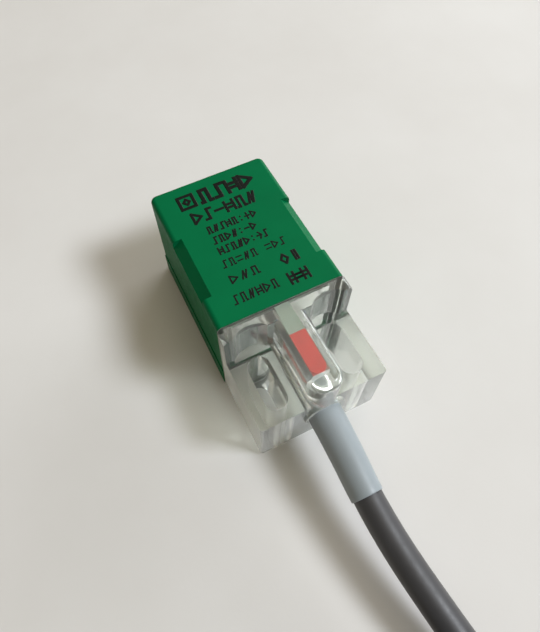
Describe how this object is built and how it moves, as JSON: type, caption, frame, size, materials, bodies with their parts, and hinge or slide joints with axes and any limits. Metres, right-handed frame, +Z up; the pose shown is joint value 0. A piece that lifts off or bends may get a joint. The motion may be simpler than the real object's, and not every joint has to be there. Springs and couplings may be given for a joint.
{
  "type": "proximity sensor",
  "caption": "Block-shaped inductive proximity sensor: green housing, clear slotted mounting end with a red status light, and a grey three-core cable.",
  "frame": {"origin": "middle of the sensor's footprint, on the surface it lies on, measured without the cable", "axes": "+Z up from the resting face, +Y towards the sensing face, cable leaves towards -Y, +X to the right seen from the cable end"},
  "size_m": [0.0701, 0.1549, 0.024],
  "materials": {
    "green_plastic": "satin moulded ABS, green",
    "clear_plastic": "clear polycarbonate",
    "ferrite": "sintered, matt",
    "white_plastic": "natural nylon",
    "copper_wire": "enamelled copper",
    "black_plastic": "moulded",
    "board_laminate": "glass epoxy with solder resist",
    "black_epoxy": "moulded epoxy",
    "tantalum_yellow": "moulded epoxy",
    "ceramic_tan": "sintered, matt",
    "red_diffuser": "tinted diffusing epoxy",
    "tinned_metal": "tin plated copper",
    "brown_insulation": "extruded PVC",
    "blue_insulation": "extruded PVC",
    "black_insulation": "extruded PVC",
    "potting_resin": "cast epoxy",
    "sleeve_grey": "soft moulded PVC",
    "jacket_grey": "extruded PVC, satin",
    "tie_black": "flat nylon band"
  },
  "bodies": {
    "root": {"housing": "green_plastic", "end_cover": "clear_plastic", "ferrite_core": "ferrite", "coil_bobbin": "white_plastic", "coil_winding": "copper_wire", "coil_carrier": "black_plastic", "coil_leads": "copper_wire", "circuit_board": "board_laminate", "oscillator_ic": "black_epoxy", "output_transistor": "black_epoxy", "surge_diode": "black_epoxy", "polarity_diode": "black_epoxy", "supply_capacitor": "tantalum_yellow", "tuning_capacitor": "ceramic_tan", "chip_resistors": "black_epoxy", "chip_capacitors": "ceramic_tan", "status_led": "red_diffuser", "led_leads": "tinned_metal", "inner_wire_brown": "brown_insulation", "inner_wire_blue": "blue_insulation", "inner_wire_black": "black_insulation", "potting_compound": "potting_resin", "strain_relief": "sleeve_grey", "cable_tube": "jacket_grey", "cable_coil": "jacket_grey", "coil_tie": "tie_black", "cable_tail": "jacket_grey", "end_wire_brown": "brown_insulation", "end_wire_blue": "blue_insulation", "end_wire_black": "black_insulation", "tinned_ends": "tinned_metal"}
  },
  "joints": []
}
